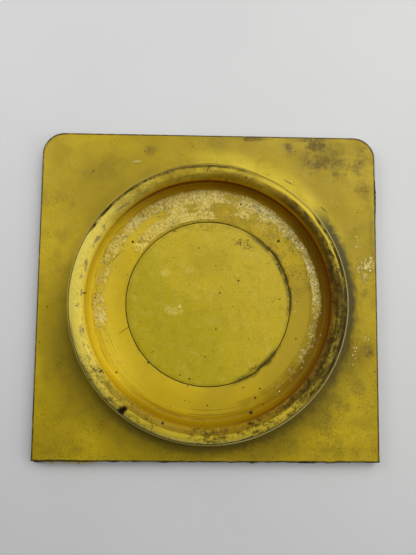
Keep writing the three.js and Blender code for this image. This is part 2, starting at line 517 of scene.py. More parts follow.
# Dark smudges on the disc: x, y, half width, half depth, turn, strength.
DISC_SMUDGES = (
    (10.4, 15.2, 4.0, 1.6, -20, 1.0),
    (20.9, 8.6, 1.1, 3.6, 20, 1.0),
    (20.4, 16.4, 1.0, 0.7, 0, 0.8),
    (13.4, -20.6, 2.4, 1.0, 30, 0.9),
    (-10.0, 19.2, 1.6, 0.8, 20, 0.9),
    (0.0, 20.0, 8.0, 1.4, 0, 0.35),
    (-16.3, -16.4, 0.8, 0.5, 0, 0.9),
)


def plate_plastic(settings, soil):
    g = Graph("plate_plastic_worn", CUP_AXIS)
    away = g.away
    slow = g.noise(26, 3, 0.5, 3)
    middle = g.noise(6, 4, 0.6, 11)
    fine = g.noise(0.9, 4, 0.65, 5)
    g.colour = g.mix(g.span(slow, 0.36, 0.66), settings.dull, settings.clean)
    g.coat(settings.dull, g.span(middle, 0.48, 0.7, 0, 0.75))
    g.coat(settings.dull, g.span(fine, 0.48, 0.72, 0, 0.5))
    grain = g.noise(0.36, 2, 0.6, 77)
    g.coat(settings.dull, g.span(grain, 0.42, 0.7, 0, 0.45))
    cloud = g.span(g.noise(9.0, 5, 0.62, 71, warp=0.5), 0.52, 0.7)
    g.coat(soil.grime, cloud, g.span(fine, 0.3, 0.7, 0.5, 1.0), 0.25)
    stains = 0.0
    for x, y, half_x, half_y, turn, strength in FLANGE_STAINS:
        spot = g.product(g.patch(x, y, half_x, half_y, turn, 0.8, 0.95, 4), strength)
        stains = g.most(spot, stains)
    drifts = g.span(g.noise(3.6, 5, 0.68, 21), 0.32, 0.62, 0.3, 1)
    g.coat((0.17, 0.115, 0.010), stains, drifts, 0.62)
    caked = g.product(g.span(stains, 0.35, 0.95), g.span(g.noise(1.5, 6, 0.78, 24, warp=0.6), 0.36, 0.62))
    g.coat((0.10, 0.065, 0.004), caked, 0.85)
    dusting = g.product(g.span(g.noise(1.0, 5, 0.75, 22), 0.46, 0.62), g.span(drifts, 0.5, 1.0))
    stains = g.product(stains, dusting)
    g.coat(soil.soil, stains, 0.6)
    # Painted light: a brighter strip just outside the collar towards +X +Y, a painted pool of light where the
    # cup's wall throws light onto the flange.
    rubbed_and_lit = g.product(g.towards(60, 16, 30), g.span(away, 41.5, 47.0, 0.9, 0))
    rubbed_and_lit = g.product(rubbed_and_lit, g.span(middle, 0.3, 0.7, 1.0, 0.55))
    g.coat(settings.rubbed_and_lit, rubbed_and_lit)
    # Grey grime packed against the collar, mostly on the +X side.
    right = g.towards(0, 30, 16)
    around = g.most(right, g.product(g.towards(-58, 56, 40), 0.75), 0.12)
    reach = g.math("ADD", away, g.about(g.noise(2.2, 4, 0.6, 8), 3.0))
    packed = g.product(around, g.span(reach, 42.4, 44.8, 1, 0))
    g.coat(soil.grime, packed, 0.92)
    # Painted shadow of the cup towards -Y, with old dirt: an olive darkening of the flange.
    cup_shadow_and_dirt = g.product(g.towards(-92, 62, 34), g.span(away, 43.5, 53.0, 1, 0))
    cup_shadow_and_dirt = g.product(cup_shadow_and_dirt, g.span(middle, 0.3, 0.62, 0.55, 1.0))
    g.coat((0.175, 0.122, 0.002), cup_shadow_and_dirt, 0.62)
    # Fine road dust, thick near the -Y side and beyond the collar towards +X.
    lowest = g.span(g.vector("DOT_PRODUCT", g.place, (0.35, -0.94, 0.0)), -14, 44, 0.08, 1)
    sand = g.span(g.noise(0.55, 3, 0.75, 51), 0.53, 0.62)
    sand = g.product(sand, g.span(g.noise(7.0, 3, 0.6, 61), 0.38, 0.62), lowest)
    g.coat(soil.grime, sand, 0.6)
    # Soil in the rounded edge, carried by the mesh.
    edge = g.node("ShaderNodeAttribute")
    edge.attribute_name = "edge"
    pale_side = g.most(g.towards(-15, 60, 20), 0.3)
    bleached = g.product(g.span(edge.outputs["Fac"], -0.9, -0.2, 0.8, 0.0), pale_side)
    g.coat((0.50, 0.44, 0.16), bleached)
    broken = g.span(g.noise(2.0, 3, 0.6, 17), 0.3, 0.55, 0.55, 1.0)
    g.coat(soil.soil, g.span(edge.outputs["Fac"], 0.1, 0.9), broken)
    shut = g.product(g.towards(92, 12, 12), g.band(away, 39.9, 40.9, 0.3))
    g.coat(soil.soil, shut, g.span(middle, 0.3, 0.6, 0.4, 0.9))
    # Painted glints on grains of glue near the +X side.
    glints = g.most(*(g.patch(*place, 0.7, 0.7, 1.2) for place in FLANGE_GLINTS))
    grains = g.most(g.specks(0.9, 0.36, 0.6, 21), g.specks(0.6, 0.2, 0.5, 23))
    g.coat((1.0, 0.90, 0.45), g.span(glints, 0.2, 0.7), grains)
    # The cut face: black residue, but for one pale torn strip near its -X end.
    across, down, _ = g.axes()
    cut_line = (PLATE_LOW.y + 0.8 * MM) / MM
    cut_face = g.span(down, cut_line - 0.16, cut_line + 0.06, 1, 0)
    residue = g.noise(1.1, 4, 0.65, 91)
    g.coat(soil.soil, cut_face, g.span(residue, 0.3, 0.5, 0.55, 1))
    torn = g.product(g.band(across, -45.5, -31.5, 1.5), g.span(down, cut_line - 0.36, cut_line - 0.22, 1, 0))
    torn = g.product(torn, g.span(residue, 0.56, 0.66, 1, 0.2))
    g.coat((0.78, 0.66, 0.20), torn)
    dots = g.most(g.specks(3.1, 0.34, 0.22), g.specks(1.3, 0.16, 0.18, 7), g.specks(6.0, 0.6, 0.2, 3))
    g.coat(soil.bitumen, dots, 0.85)
    marks = g.most(
        g.scratch((21.5, 35.6), (26.0, 33.0), 0.5),
        g.scratch((33.0, 27.6), (36.0, 24.6), 0.5),
        g.product(g.scratch((2.0, 41.0), (2.2, 39.2), 0.3), 0.7),
    )
    g.coat(soil.soil, marks, 0.75)
    pale = g.scratch((-23.4, 39.9), (-20.0, 40.2), 0.6)
    g.coat((0.75, 0.66, 0.35), pale, 0.5)
    roughness = g.math("ADD", g.span(middle, 0.3, 0.7, 0.36, 0.52), g.product(stains, 0.25), clamp=True)
    height = g.math("ADD", g.product(fine, 0.35), g.product(g.noise(3.5, 3, 0.5, 31), 0.9))
    height = g.math("ADD", height, g.product(dots, 0.5))
    return g.done(g.surface(g.colour, roughness, height, 0.12, Specular_IOR_Level=0.24, **UNDER_SKIN))


def cup_plastic(settings, soil):
    g = Graph("cup_plastic_worn", CUP_AXIS)
    away = g.away
    slow = g.noise(18, 3, 0.5, 2)
    middle = g.noise(4.5, 4, 0.6, 14)
    fine = g.noise(0.7, 4, 0.65, 9)
    dull = g.mix(0.5, settings.clean, (0.36, 0.26, 0.03))
    g.colour = g.mix(g.span(slow, 0.4, 0.7), settings.clean, dull)
    g.coat(dull, g.span(middle, 0.52, 0.78, 0, 0.4))
    inner = settings.inner_radius / MM
    outer = inner + settings.rim_width / MM
    # Painted light makes the floor paler towards -X; the floor is also darker towards -Y.
    floor_edge = inner - 9.6
    g.coat((0.90, 0.69, 0.055), g.towards(178, 34, 34), g.span(away, floor_edge, inner - 3.0), 0.55)
    g.coat((0.46, 0.33, 0.008), g.towards(-92, 24, 30), g.span(away, floor_edge, inner - 5.0), 0.4)
    crown = g.span(away, inner - 0.1, inner + 0.5)
    g.coat(settings.crown, crown, 0.8)
    # Painted highlight on the rim towards -X.
    g.coat(settings.rim_highlight, crown, g.towards(172, 30, 34), g.span(fine, 0.35, 0.65, 1.0, 0.5))
    # The rim's shoulder is paler away from the soiled +X side: some rubbing, with painted light added.
    lit_side = g.math("SUBTRACT", 1.0, g.towards(20, 80, 30))
    rubbed_and_lit = g.product(g.span(away, outer - 1.1, outer - 0.5), lit_side)
    g.coat((0.95, 0.80, 0.17), rubbed_and_lit, g.span(fine, 0.35, 0.6, 1, 0.6), 0.85)
    # The rim is darker, most of all its inner half towards +X: soil, with painted shade on the inner slope
    # that faces away from the light.
    smear = g.smeared(2.4, 2.6, 5, 0.66, 33)
    blotch = g.smeared(1.1, 1.7, 6, 0.72, 4)
    inside = (inner + 0.1, inner + 1.6, 0.5)
    outside = (inner + 1.4, outer - 0.4, 0.5)
    g.stain((0.085, 0.048, 0.002), (2, 62, 95), inside, smear, 0.32, 0.56, 0.558, 0.93)
    g.stain((0.10, 0.064, 0.003), (-16, 22, 14), outside, smear, 0.36, 0.56, 0.45, 0.9)
    g.stain((0.25, 0.145, 0.003), (56, 26, 14), (inner + 0.1, inner + 2.2, 0.9), smear, 0.34, 0.56, 0.4, 0.95)
    sooty = (inner + 0.2, inner + 2.7, 0.7)
    g.stain((0.075, 0.042, 0.002), (30, 18, 14), sooty, blotch, 0.38, 0.56, 0.5, 0.95)
    g.coat((0.24, 0.16, 0.006), g.towards(104, 22, 26), crown, g.span(middle, 0.35, 0.65, 0.35, 0.75))
    # Darker towards -Y on the rim's inner slope and the top of the wall.
    g.stain((0.30, 0.185, 0.004), (-98, 34, 24), (inner - 0.2, inner + 1.8, 0.5), smear, 0.3, 0.56, 0.45, 0.9)
    # Painted shade down the inner wall, on the side away from the light, and painted light, a brighter amber,
    # on the side that faces it.
    wall = g.band(away, inner - 1.6, inner + 0.4, 0.5)
    shaded = g.most(g.towards(50, 60, 50), g.product(g.towards(-30, 30, 30), 0.8))
    g.coat((0.42, 0.205, 0.001), wall, shaded, 0.8)
    lit_amber = g.product(wall, g.math("SUBTRACT", 1.0, shaded), 0.6)
    g.coat((0.76, 0.52, 0.006), lit_amber)
    # The wall is darker towards -Y.
    g.coat((0.30, 0.18, 0.001), wall, g.towards(-84, 30, 28), 0.8)
    # Painted shade, deepest on the wall towards +X and reaching down over the fillet.
    darkest = g.product(g.towards(-2, 30, 26), g.band(away, inner - 2.1, inner + 0.5, 0.9))
    g.coat((0.17, 0.085, 0.001), darkest, g.span(middle, 0.3, 0.7, 0.75, 0.6))
    # Painted shadow: a thin dark red line under the rim's inner edge, strongest on the shaded side.
    lip_shadow = g.product(g.band(away, inner - 0.02, inner + 0.14, 0.07), g.most(shaded, 0.3))
    g.coat((0.15, 0.03, 0.001), lip_shadow, 0.85)
    # Mottled soil on the rim, heaviest towards -Y and +X.
    heavy = g.towards(-42, 42, 22)
    corner = g.towards(226, 14, 14)
    right = g.product(g.towards(-4, 22, 14), 0.75)
    light = g.product(g.towards(100, 24, 20), 0.3)
    where = g.most(heavy, g.product(corner, 0.5), right, light, 0.1)
    coarse = g.smeared(3.4, 2.4, 3, 0.6, 44)
    laden = g.math("ADD", g.math("ADD", blotch, g.product(where, 0.10)), g.product(coarse, 0.3))
    mottle = g.product(crown, g.span(where, 0.0, 0.6), g.span(laden, 0.66, 0.88))
    g.coat(soil.soil, mottle, 0.85)
    spatter = g.product(crown, g.span(where, 0.05, 0.5, 0.1, 1), g.span(g.noise(0.5, 3, 0.7, 81), 0.56, 0.64))
    g.coat(soil.soil, spatter, 0.7)
    # Grey-violet scuffs on the rim's inner slope towards -X.
    scuffs = g.smeared(0.9, 3.2, 5, 0.7, 19)
    g.stain((0.19, 0.145, 0.085), (166, 38, 14), (inner + 0.9, inner + 1.7, 0.45), scuffs, 0.5, 0.58, 0, 0.72)
    # Soil in the shoulder next to the collar: patchy, and thickest towards -X +Y and +X.
    thick = g.most(g.towards(128, 18, 10), g.towards(4, 30, 14))
    thick = g.most(thick, g.product(g.towards(92, 14, 10), 0.8), 0.08)
    inset = g.span(thick, 0.5, 1.0, 0.2, 0.85)
    shoulder = g.product(g.span(g.math("ADD", away, inset), outer - 0.12, outer + 0.12), thick)
    shoulder = g.product(shoulder, g.span(g.noise(3.0, 4, 0.65, 27), 0.36, 0.56, 0.35, 1.0))
    g.coat(soil.soil, shoulder)
    for degrees, half, gap in ((84, 11, 0.75), (58, 9, 0.45), (218, 26, 0.5)):
        line = (outer - gap, outer - gap + 0.1, 0.12)
        g.stain(soil.soil, (degrees, half, 5), line, middle, 0.34, 0.5, 0.2, 0.75)
    g.coat(soil.soil, g.band(away, inner - 1.0, inner - 0.85, 0.12), g.span(middle, 0.45, 0.6), 0.35)
    # Dull, sandy remains of glue over the +Y half of the floor.
    sandy = g.product(g.towards(60, 50, 16), g.span(away, inner - 3.6, inner - 2.2, 1, 0))
    grains = g.noise(0.55, 4, 0.75, 55)
    drifts = g.noise(3.2, 4, 0.62, 57)
    sandy = g.product(sandy, g.span(drifts, 0.36, 0.56, 0.35, 1.0))
    g.coat((0.36, 0.255, 0.022), sandy, g.span(grains, 0.42, 0.6, 0.35, 0.9))
    g.coat((0.12, 0.07, 0.003), sandy, g.span(grains, 0.58, 0.66), 0.85)
    # Rings of trapped dirt on the floor near the fillet, and a shade of brown.
    for gap, width, most in ((2.3, 0.2, 0.45), (3.6, 0.1, 0.315)):
        line = (inner - gap, inner - gap + width, 0.2)
        g.stain((0.16, 0.08, 0.002), (-100, 60, 30), line, slow, 0.4, 0.6, 0.3 * most, most)
    shade = (inner - 4.4, inner - 2.6, 1.0)
    g.stain((0.27, 0.165, 0.002), (-30, 34, 22), shade, drifts, 0.34, 0.6, 0.2, 0.5)
    # Painted glints on glue at the foot of the wall.
    glints = g.most(g.specks(1.5, 0.30, 0.22, 12), g.specks(0.8, 0.17, 0.2, 15))
    foot = g.product(g.towards(-30, 30, 8), g.band(away, inner - 2.2, inner - 0.7, 0.4))
    g.coat((1.0, 0.93, 0.52), glints, foot, g.span(drifts, 0.44, 0.54))
    # Dirt that spreads from the disc's joint.
    from_disc, disc_way = g.polar(DISC_AXIS)
    spread = g.span(g.math("ADD", from_disc, g.about(middle, 3)), 24.1, 25.2, 1, 0)
    worst = g.most(g.towards(25, 25, 15, disc_way), g.towards(-52, 14, 12, disc_way), 0.12)
    g.coat(soil.soil, spread, worst, 0.8)
    dots = g.most(g.specks(2.6, 0.36, 0.24), g.specks(1.1, 0.17, 0.2, 5), g.specks(7.0, 0.5, 0.3, 3))
    spots = g.most(*(g.patch(x, y, 1.3 * size, size, 30, 0.35, 0.4, 0.6) for x, y, size in DISH_SPOTS))
    g.coat(soil.bitumen, g.most(dots, spots), 0.88)
    lines = g.most(
        g.scratch((-27.0, -12.4), (-20.5, -7.5), 0.28),
        g.product(g.scratch((-30.0, -9.0), (-26.0, -18.0), 0.22), 0.7),
        g.scratch((-31.5, 6.8), (-24.0, 14.2), 0.3),
        g.scratch((-1.2, 34.6), (0.3, 38.4), 0.55),
        g.product(g.scratch((20.5, 31.0), (21.5, 33.0), 0.3), 0.8),
    )
    g.coat(soil.soil, lines, 0.7)
    chip = g.patch(-23.6, -32.2, 2.3, 1.1, 40, 1.1, 0.4, 1.1)
    g.coat((0.022, 0.010, 0.004), chip)
    roughness = g.math("ADD", g.span(middle, 0.3, 0.7, 0.3, 0.46), g.product(mottle, 0.3), clamp=True)
    height = g.math("ADD", g.product(fine, 0.3), g.product(g.noise(2.6, 3, 0.5, 31), 0.6))
    height = g.math("SUBTRACT", height, g.product(lines, 0.8))
    return g.done(g.surface(g.colour, roughness, height, 0.1, Specular_IOR_Level=0.09, **UNDER_SKIN))


def disc_plastic(settings, soil):
    g = Graph("disc_plastic_worn", DISC_AXIS)
    away = g.away
    slow = g.noise(16, 2, 0.5, 7)
    middle = g.noise(4, 4, 0.6, 25)
    fine = g.noise(0.6, 4, 0.65, 13)
    # The greener, darker side towards -X -Y is a painted dark reflection.
    across = g.vector("DOT_PRODUCT", g.place, (0.75, 0.65, 0.0))
    side = g.math("ADD", g.span(across, -26, 18, 0, 1), g.about(slow, 1.2))
    g.colour = g.mix(g.span(side, 0.2, 0.9), settings.green, settings.clean)
    g.coat(settings.green, g.span(middle, 0.5, 0.8, 0, 0.35))
    rim = g.product(g.span(away, 22.5, 23.7), g.span(middle, 0.32, 0.56, 0.2, 0.95))
    worst = g.most(g.towards(25, 26, 14), g.towards(-52, 12, 10), 0.2)
    g.coat(soil.soil, rim, worst)
    sandy = g.product(g.span(g.noise(0.5, 4, 0.75, 55), 0.5, 0.66), g.span(middle, 0.35, 0.65, 0.15, 0.6))
    g.coat((0.33, 0.24, 0.012), sandy)
    bloom = g.span(g.noise(2.6, 5, 0.7, 41, warp=0.7), 0.5, 0.68, 0, 0.26)
    g.coat((0.76, 0.62, 0.13), bloom)
    grain = g.noise(0.34, 2, 0.6, 77)
    g.coat((0.40, 0.31, 0.010), g.span(grain, 0.42, 0.7, 0, 0.35))
    film = g.most(*(g.patch(*mark, 0.9, 0.5, 1.3) for mark in DISC_FILM_MARKS))
    film = g.product(film, g.span(fine, 0.4, 0.6, 0.2, 1.0))
    g.coat((0.84, 0.70, 0.18), film, 0.5)
    worn = g.product(g.span(g.noise(3.0, 5, 0.72, 61), 0.5, 0.66), g.span(fine, 0.35, 0.65, 0.4, 1.0))
    g.coat((0.27, 0.19, 0.008), worn, 0.3)
    g.coat((0.40, 0.31, 0.010), g.patch(-1, 9.5, 11, 8, 0, 0.6, 0.9, 5), 0.4)
    smudges = g.most(*(g.product(g.patch(*place, 0.9, 0.8, 1.2), k) for *place, k in DISC_SMUDGES))
    smudges = g.product(smudges, g.span(g.noise(0.7, 4, 0.7, 3), 0.44, 0.56))
    g.coat(soil.soil, smudges, 0.9)
    dots = g.most(g.specks(2.4, 0.32, 0.3), g.specks(4.0, 0.36, 0.5, 3), g.specks(1.2, 0.17, 0.32, 9))
    g.coat(soil.bitumen, dots, 0.85)
    roughness = g.span(middle, 0.3, 0.7, 0.3, 0.45)
    height = g.math("ADD", g.product(fine, 0.3), g.product(g.noise(3.0, 3, 0.5, 3), 0.7))
    return g.done(g.surface(g.colour, roughness, height, 0.08, Specular_IOR_Level=0.2, **UNDER_SKIN))


def packed_soil():
    g = Graph("packed_soil")
    grain = g.noise(0.35, 4, 0.7)
    g.colour = g.mix(g.span(grain, 0.35, 0.7), (0.03, 0.017, 0.002), (0.10, 0.062, 0.006))
    return g.done(g.surface(g.colour, g.span(grain, 0.3, 0.7, 0.8, 1.0), grain, 0.1, Specular_IOR_Level=0.1))


def black_bitumen(name, soil):
    g = Graph(name)
    lumps = g.noise(1.6, 4, 0.6)
    grain = g.noise(0.3, 3, 0.6, 4)
    dusty = g.product(g.span(lumps, 0.45, 0.7), g.span(grain, 0.4, 0.7, 0.1, 0.7))
    g.colour = g.mix(dusty, soil.bitumen, (0.09, 0.075, 0.05))
    height = g.math("ADD", lumps, g.product(grain, 0.3))
    return g.done(g.surface(g.colour, g.span(lumps, 0.3, 0.7, 0.45, 0.85), height, 0.3))


def dried_glue(settings):
    """Clear glue over yellow plastic: the plastic's colour, milky in places, brighter towards -X with painted
    light, crazed with white flecks (crust and painted glints) where it is frosted, and fraying out in grains
    where the film thins."""
    g = Graph("dried_glue", CUP_AXIS)
    milk = g.noise(0.9, 5, 0.7, 6, warp=0.4)
    patchy = g.noise(3.4, 3, 0.6, 16)
    grains = g.product(g.noise(0.62, 3, 0.7, 36, warp=0.8), 0.7)
    grains = g.math("ADD", grains, g.product(g.noise(1.9, 3, 0.6, 39), 0.3))
    flecks = g.product(g.noise(0.42, 2, 0.6, 46, warp=1.2), 0.72)
    flecks = g.math("ADD", flecks, g.product(g.noise(1.7, 2, 0.6, 49), 0.28))
    thick = g.node("ShaderNodeAttribute")
    thick.attribute_name = "thick"
    frost = g.node("ShaderNodeAttribute")
    frost.attribute_name = "frost"
    frost = frost.outputs["Fac"]
    # Painted light towards -X: the film is brighter and yellower there, with less brown crackle and thinner
    # cover.
    bright = g.towards(172, 26, 18)
    milky = g.product(g.span(milk, 0.34, 0.56), g.span(patchy, 0.30, 0.52, 0.5, 1.0))
    g.colour = g.mix(g.product(milky, settings.cover), settings.under, settings.tint)
    g.coat((0.90, 0.66, 0.055), bright, 0.8)
    crazed = g.span(g.math("ADD", grains, g.product(frost, 0.10)), 0.575, 0.635)
    browned = g.product(crazed, g.span(bright, 0.0, 1.0, 0.75, 0.12))
    g.coat((0.29, 0.195, 0.006), browned)
    # White flecks: crust of crazed glue, with painted glints.
    white = g.span(g.math("ADD", flecks, g.product(frost, 0.14)), 0.625, 0.675)
    g.coat(settings.frost, white, g.span(patchy, 0.34, 0.6, 0.45, 0.95))
    stained = g.span(g.noise(4.0, 3, 0.6, 29), 0.42, 0.62)
    g.coat((0.22, 0.125, 0.006), g.span(g.noise(0.8, 5, 0.75, 23), 0.52, 0.62), stained, 0.8)
    dots = g.most(g.specks(1.1, 0.26, 0.34, 2), g.specks(0.7, 0.15, 0.3, 6), g.specks(2.2, 0.4, 0.2, 8))
    g.coat((0.085, 0.045, 0.003), dots, 0.88)
    browned = g.most(*(g.patch(*place, 1.0, 0.6, 1.4) for place in FILM_STAINS))
    g.coat((0.22, 0.135, 0.004), browned, g.span(milk, 0.36, 0.58, 1.0, 0.35), 0.7)
    crinkle = g.noise(0.7, 2, 0.6, 2, warp=0.6)
    roughness = g.span(patchy, 0.3, 0.7, 0.16, 0.34)
    film = g.surface(g.colour, roughness, crinkle, 0.22, Specular_IOR_Level=0.5)
    clear = g.node("ShaderNodeBsdfTransparent", Color=(1.0, 1.0, 1.0))
    ragged = g.math("ADD", g.about(grains, 3.0), g.about(milk, 2.2))
    cover = g.math("ADD", thick.outputs["Fac"], ragged)
    # Thinner cover on the painted-light side towards -X.
    cover = g.math("SUBTRACT", cover, g.product(bright, 0.16))
    blend = g.node("ShaderNodeMixShader", Fac=g.span(cover, 0.42, 0.62, 0.0, 0.97))
    g.tree.links.new(clear.outputs[0], blend.inputs[1])
    g.tree.links.new(film, blend.inputs[2])
    return g.done(blend.outputs[0])


# ---------------------------------------------------------------- flange plate


def plate_outline(settings):
    """Plan of the top face: a square with two round corners, cut straight along -Y. Points are about evenly
    spaced and run anticlockwise. Also tells how much each is cut."""
    half = PLATE_HIGH.x
    top = PLATE_HIGH.y
    bottom = top - 2 * half + settings.cut_depth
    corner = settings.corner
    step = 0.45 * MM
    points, cuts = [], []

    def run(start, end, cut):
        count = max(1, round((Vector(end) - Vector(start)).length / step))
        for i in range(count):
            points.append(Vector(start).lerp(Vector(end), i / count))
            cuts.append(cut)

    def bend(cx, cy, begin, finish):
        count = max(2, round(abs(finish - begin) * corner / step))
        for i in range(count):
            angle = begin + (finish - begin) * i / count
            points.append(Vector((cx + corner * math.cos(angle), cy + corner * math.sin(angle))))
            cuts.append(0.0)

    run((-half, bottom), (half + step, bottom), 1.0)
    run((half, bottom + step), (half, top - corner), 0.0)
    bend(half - corner, top - corner, 0.0, math.pi / 2)
    run((half - corner, top), (-half + corner, top), 0.0)
    bend(-half + corner, top - corner, math.pi / 2, math.pi)
    run((-half, top - corner), (-half, bottom), 0.0)
    outline = np.array([tuple(p) for p in points])
    outline[:, 0] = np.minimum(outline[:, 0], half)
    return outline, np.array(cuts)


def outward(outline, cuts):
    """Unit directions out of a closed anticlockwise outline, straight towards -Y along the cut."""
    along = np.roll(outline, -1, axis=0) - np.roll(outline, 1, axis=0)
    along /= np.linalg.norm(along, axis=1, keepdims=True)
    directions = np.stack([along[:, 1], -along[:, 0]], axis=1)
    directions[cuts > 0] = (0.0, -1.0)
    return directions


def build_plate(settings, soil):
    outline, cuts = plate_outline(settings)
    normals = outward(outline, cuts)
    ragged = waves(with_height(outline, 0.0), 2.2 * MM, 4, 3.0)
    outline = outline + normals * (cuts * 0.16 * MM * ragged)[:, None]
    angles = np.arctan2(outline[:, 1] - CUP_AXIS.y, outline[:, 0] - CUP_AXIS.x)
    collar = COLLAR_SEAT + settings.collar
    foot = node_radius("cup_ring") + 0.3 * MM
    rebate_top = PLATE_LOW.z + 1.3 * MM
    base, top, collar_top = PLATE_LOW.z, PLATE_TOP, PLATE_HIGH.z
    rows, edge_rows = [], []

    def ring(radius, height, soiled=0.0):
        rows.append(with_height(ring_points(radius, CUP_AXIS, angles), height))
        edge_rows.append(np.full(len(angles), soiled))

    # A flap torn from the cut edge near its -X end.
    flap = cuts * rise(outline[:, 0], -47.0 * MM, -44.5 * MM)
    flap = flap * (1 - rise(outline[:, 0], -34.0 * MM, -30.5 * MM))

    def rim(inset, height, soiled, lean=0.0, burr=0.0):
        tear = cuts * lean * (1 + 0.35 * waves(with_height(outline, height), 3.0 * MM, 4, 8.0))
        tear += flap * burr * (1 + 0.45 * waves(with_height(outline, 0.0), 2.6 * MM, 4, 18.0))
        rows.append(with_height(outline - normals * (inset - tear)[:, None], height))
        edge_rows.append(np.full(len(angles), soiled))

    lip = 0.12 * MM
    ring(COLLAR_SEAT, rebate_top)
    ring(COLLAR_SEAT, collar_top - lip, 0.9)
    ring(COLLAR_SEAT + lip, collar_top, -1.0)
    ring(collar - lip, collar_top, -1.0)
    ring(collar, collar_top - lip, 0.9)
    ring(collar, collar_top - 2 * lip, 0.2)
    fillet = settings.foot_fillet
    for height in np.linspace(collar_top - 0.8 * MM, top + fillet, 5):
        ring(collar, height)
    for i in range(1, 5):
        turn = math.pi / 2 * i / 4
        ring(collar + fillet * (1 - math.cos(turn)), top + fillet * (1 - math.sin(turn)))
    inner = ring_points(collar + fillet * 1.15, CUP_AXIS, angles)
    rounding = settings.edge_round
    outer = outline - normals * rounding
    parts = [*np.linspace(0, 0.97, 23), 0.99, 1.0]
    for i, part in enumerate(parts):
        plan = inner * (1 - part) + outer * part
        fade = math.sin(math.pi * min(1.0, 6 * part * (1 - part)) / 2)
        lift = settings.warp * fade * waves(with_height(plan, 0.0), 19 * MM, 3, 5.0)
        fine = 0.02 * MM * fade * waves(with_height(plan, 0.0), 2.4 * MM, 3, 1.0)
        dip = 0.05 * MM
        rows.append(with_height(plan, top - dip * fade + np.minimum(lift + fine, dip * fade)))
        edge_rows.append(np.full(len(angles), {len(parts) - 1: 0.9, len(parts) - 2: 0.5}.get(i, 0.0)))
    for i in range(1, 4):
        turn = math.pi / 2 * i / 3
        inset = np.full(len(angles), rounding * (1 - math.sin(turn)))
        rim(inset, top - rounding * (1 - math.cos(turn)), 1.0)
    none = np.zeros(len(angles))
    lean = 0.8 * MM
    for i, burr in enumerate((0.5 * MM, 0.56 * MM, 0.3 * MM, 0.0), 1):
        down = top - rounding + (base + 0.1 * MM - top + rounding) * i / 4
        rim(none, down, 0.75, lean * i / 4, burr)
    rim(none + 0.1 * MM, base, 0.6, lean)
    ring(foot, base)
    ring(foot, rebate_top)
    points, faces = round_body(rows, True)
    points[:, 1] = np.clip(points[:, 1], PLATE_LOW.y - 0.4 * MM, PLATE_HIGH.y)
    points[:, 0] = np.clip(points[:, 0], PLATE_LOW.x, PLATE_HIGH.x)
    plate = new_object("base_plate_worn", points, faces, plate_plastic(settings, soil))
    set_layer(plate.data, "edge", np.concatenate(edge_rows))
    return finish_piece(plate, "plate_plastic", "base_plate")


# ---------------------------------------------------------------- cup and disc


def build_cup(settings, soil):
    angles = full_turn(480)
    inner = settings.inner_radius
    outer = inner + settings.rim_width + settings.snug
    rim_top = CUP_HIGH.z
    foot = node_radius("cup_ring")
    pocket = node_radius("centre_disc") + settings.joint
    pocket_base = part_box("centre_disc")[0].z
    fillet = settings.fillet
    middle = inner + settings.rim_width / 2
    rows = []

    def ring(radius, height, axis=CUP_AXIS):
        rows.append(with_height(ring_points(radius, axis, angles), height))

    ring(0.0, CUP_LOW.z)
    ring(foot, CUP_LOW.z)
    ring(foot, CUP_LOW.z + 1.0 * MM)
    ring(outer, CUP_LOW.z + 1.0 * MM)
    ring(outer, PLATE_TOP)
    shoulder = rim_top - settings.outer_drop
    ring(outer, shoulder - 0.6 * MM)
    for i in range(13):
        turn = math.pi / 2 * i / 12
        ring(middle + (outer - middle) * math.cos(turn), shoulder + settings.outer_drop * math.sin(turn))
    # The inner half of the rim is a flatter arc, which ends at an edge above the wall.
    slope = rim_top - settings.inner_drop
    steepest = 2 * math.atan2(settings.inner_drop, middle - inner)
    bend = (middle - inner) / math.sin(steepest)
    for i in range(1, 13):
        turn = steepest * i / 12
        ring(middle - bend * math.sin(turn), rim_top - bend * (1 - math.cos(turn)))
    step = 0.14 * MM
    ring(inner, slope - 0.12 * MM)
    ring(inner + step, slope - 0.22 * MM)
    ring(inner + step, slope - 0.4 * MM)
    ring(inner, slope - 0.5 * MM)
    for part in (0.3, 0.65):
        ring(inner - 0.12 * MM * part, slope + (FLOOR_TOP + fillet - slope) * part)
    for i in range(7):
        turn = math.pi / 2 * i / 6
        radius = inner - 0.12 * MM - fillet * (1 - math.cos(turn))
        ring(radius, FLOOR_TOP + fillet * (1 - math.sin(turn)))
    flat = ring_points(inner - 0.12 * MM - fillet * 1.05, CUP_AXIS, angles)
    lip = 0.12 * MM
    hole = ring_points(pocket + lip, DISC_AXIS, angles)
    for i in range(1, 22):
        part = i / 21
        rows.append(with_height(flat * (1 - part) + hole * part, FLOOR_TOP))
    ring(pocket, FLOOR_TOP - lip, DISC_AXIS)
    ring(pocket, pocket_base, DISC_AXIS)
    ring(0.0, pocket_base, DISC_AXIS)
    points, faces = round_body(rows, False)
    reach = np.hypot(points[:, 0] - CUP_AXIS.x, points[:, 1] - CUP_AXIS.y)
    on_floor = (np.abs(points[:, 2] - FLOOR_TOP) < 1e-6) & (reach < inner)
    points[on_floor, 2] += 0.05 * MM * waves(points[on_floor], 9 * MM, 3, 2.0) - 0.03 * MM
    on_rim = (points[:, 2] > shoulder) & (reach > inner)
    dents = np.minimum(0.07 * MM * waves(points[on_rim], 3.5 * MM, 3, 6.0), 0.0)
    hollows = np.minimum(0.05 * MM * waves(points[on_rim], 14 * MM, 2, 4.0), 0.0)
    points[on_rim, 2] += dents + hollows
    # A chip knocked out of the rim's inner slope.
    away = np.hypot(points[:, 0] + 23.6 * MM, points[:, 1] + 32.4 * MM)
    bite = np.clip(1 - away / (1.6 * MM), 0, 1) * (points[:, 2] > slope - 0.6 * MM)
    points[:, 2] -= 0.55 * MM * np.sqrt(bite)
    cup = new_object("cup_ring_worn", points, faces, cup_plastic(settings, soil))
    return finish_piece(cup, "cup_plastic", "cup_ring")


